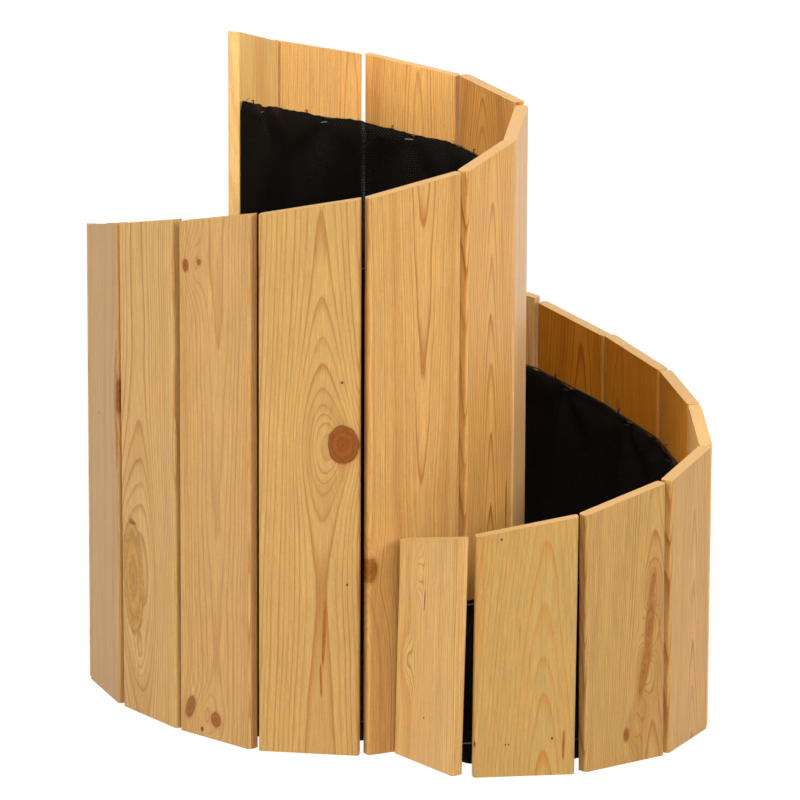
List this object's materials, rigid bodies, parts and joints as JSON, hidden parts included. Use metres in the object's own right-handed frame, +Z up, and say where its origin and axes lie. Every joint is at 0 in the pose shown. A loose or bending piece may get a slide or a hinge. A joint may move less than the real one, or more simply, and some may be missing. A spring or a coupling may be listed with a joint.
{
  "type": "herb spiral planter",
  "caption": "Herb spiral planter: upright pine boards joined side by side in a rising spiral wall, lined with black cloth, open at top and bottom.",
  "frame": {"origin": "on the ground, in the middle of the planter's bounding box", "axes": "+Z up, -Y towards the viewer of the picture, +X to the viewer's right"},
  "size_m": [0.6038, 0.6028, 0.6575],
  "materials": {
    "pine": "planed softwood with a thin clear satin finish, honey coloured, with knots and growth rings",
    "liner_cloth": "matt black woven ground cloth with cut, slightly frayed edges",
    "galvanised_wire": "dull zinc-coated wire",
    "staple_steel": "bright zinc-coated staple wire"
  },
  "bodies": {
    "root": {"stave_01": "pine", "stave_02": "pine", "stave_03": "pine", "stave_04": "pine", "stave_05": "pine", "stave_06": "pine", "stave_07": "pine", "stave_08": "pine", "stave_09": "pine", "stave_10": "pine", "stave_11": "pine", "stave_12": "pine", "stave_13": "pine", "stave_14": "pine", "stave_15": "pine", "stave_16": "pine", "stave_17": "pine", "stave_18": "pine", "stave_19": "pine", "stave_20": "pine", "stave_21": "pine", "stave_22": "pine", "stave_23": "pine", "stave_24": "pine", "stave_25": "pine", "liner": "liner_cloth", "lower_wire": "galvanised_wire", "upper_wire": "galvanised_wire", "wire_staples": "staple_steel", "liner_staples": "staple_steel"}
  },
  "joints": []
}
